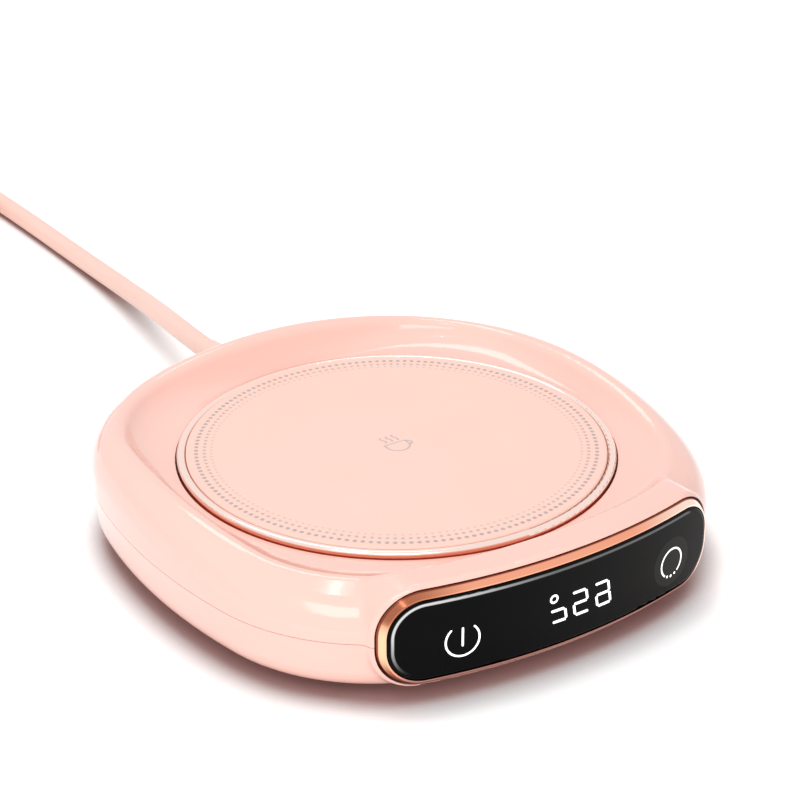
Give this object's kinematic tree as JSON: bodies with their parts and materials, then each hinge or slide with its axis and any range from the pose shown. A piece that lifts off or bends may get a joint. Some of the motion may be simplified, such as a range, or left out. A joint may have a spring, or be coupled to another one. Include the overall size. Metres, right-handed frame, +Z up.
{
  "type": "electric mug warmer",
  "caption": "Low rounded-square electric mug warmer with a sprung round heated plate in a shallow bowl, a curved touch panel at the front and a mains cord at the back.",
  "frame": {"origin": "on the table, under the middle of the heated plate, at the middle of the body's footprint without the cord", "axes": "+Z up out of the heated plate, -Y towards the touch panel, +Y along the way the cord leaves, +X to the right seen from the panel"},
  "size_m": [0.1217, 0.3451, 0.0277],
  "materials": {
    "pink_shell": "glossy moulded plastic, pale pink",
    "pink_plate": "satin enamel on a steel disc, pale pink with a printed ring of dots",
    "rose_gold": "polished, anodised rose gold",
    "black_glass": "glossy black-backed glass",
    "aluminium": "plain rolled sheet",
    "mica": "mica sheet wound with heating wire",
    "felt": "ceramic-fibre felt",
    "white_nylon": "heat-proof moulded nylon",
    "dark_plastic": "moulded black plastic",
    "amber_box": "boxed film capacitor",
    "green_plastic": "moulded terminal block",
    "sensor_bead": "resin-coated parts",
    "board_green": "circuit board with solder mask",
    "pad_foam": "conductive foam",
    "spring_steel": "bright spring wire",
    "screw_steel": "zinc-plated",
    "wire_grey": "flat ribbon cable",
    "wire_red": "silicone-covered leads",
    "foot_rubber": "soft dull rubber",
    "pink_cord": "satin cord sheath, pale pink",
    "pink_plug": "moulded plug, pale pink",
    "tie_white": "soft strap",
    "pin_brass": "bright brass"
  },
  "bodies": {
    "base": {"lower_housing": "pink_shell", "upper_housing": "pink_shell", "panel_bezel": "rose_gold", "panel_glass": "black_glass", "control_board": "board_green", "display_module": "dark_plastic", "touch_pads": "pad_foam", "plate_springs": "spring_steel", "switch_body": "dark_plastic", "power_board": "board_green", "mains_capacitor": "amber_box", "smoothing_capacitor": "dark_plastic", "triac": "dark_plastic", "terminal_block": "green_plastic", "ribbon_cable": "wire_grey", "heater_leads": "wire_red", "mains_leads": "wire_red", "housing_screws": "screw_steel", "board_screws": "screw_steel", "clamp_screws": "screw_steel", "rubber_feet": "foot_rubber", "cord_clamp": "white_nylon", "strain_relief": "pink_cord", "power_cord": "pink_cord", "cord_coil": "pink_cord", "cord_tie": "tie_white", "plug_lead": "pink_cord", "plug_body": "pink_plug", "plug_pins": "pin_brass"},
    "plate": {"heating_plate": "pink_plate", "plate_trim_ring": "rose_gold", "heat_spreader": "aluminium", "heating_element": "mica", "insulation_pad": "felt", "temperature_sensor": "sensor_bead", "thermal_fuse": "sensor_bead", "plate_carrier": "white_nylon", "switch_plunger": "white_nylon"}
  },
  "joints": [
    {"name": "plate_press", "type": "slide", "parent": "base", "child": "plate", "axis": [0, 0, -1], "range_m": [0, 0.0008], "stiffness_N_per_m": 1500, "springref_m": -0.002, "deforming": ["plate_springs"]}
  ]
}
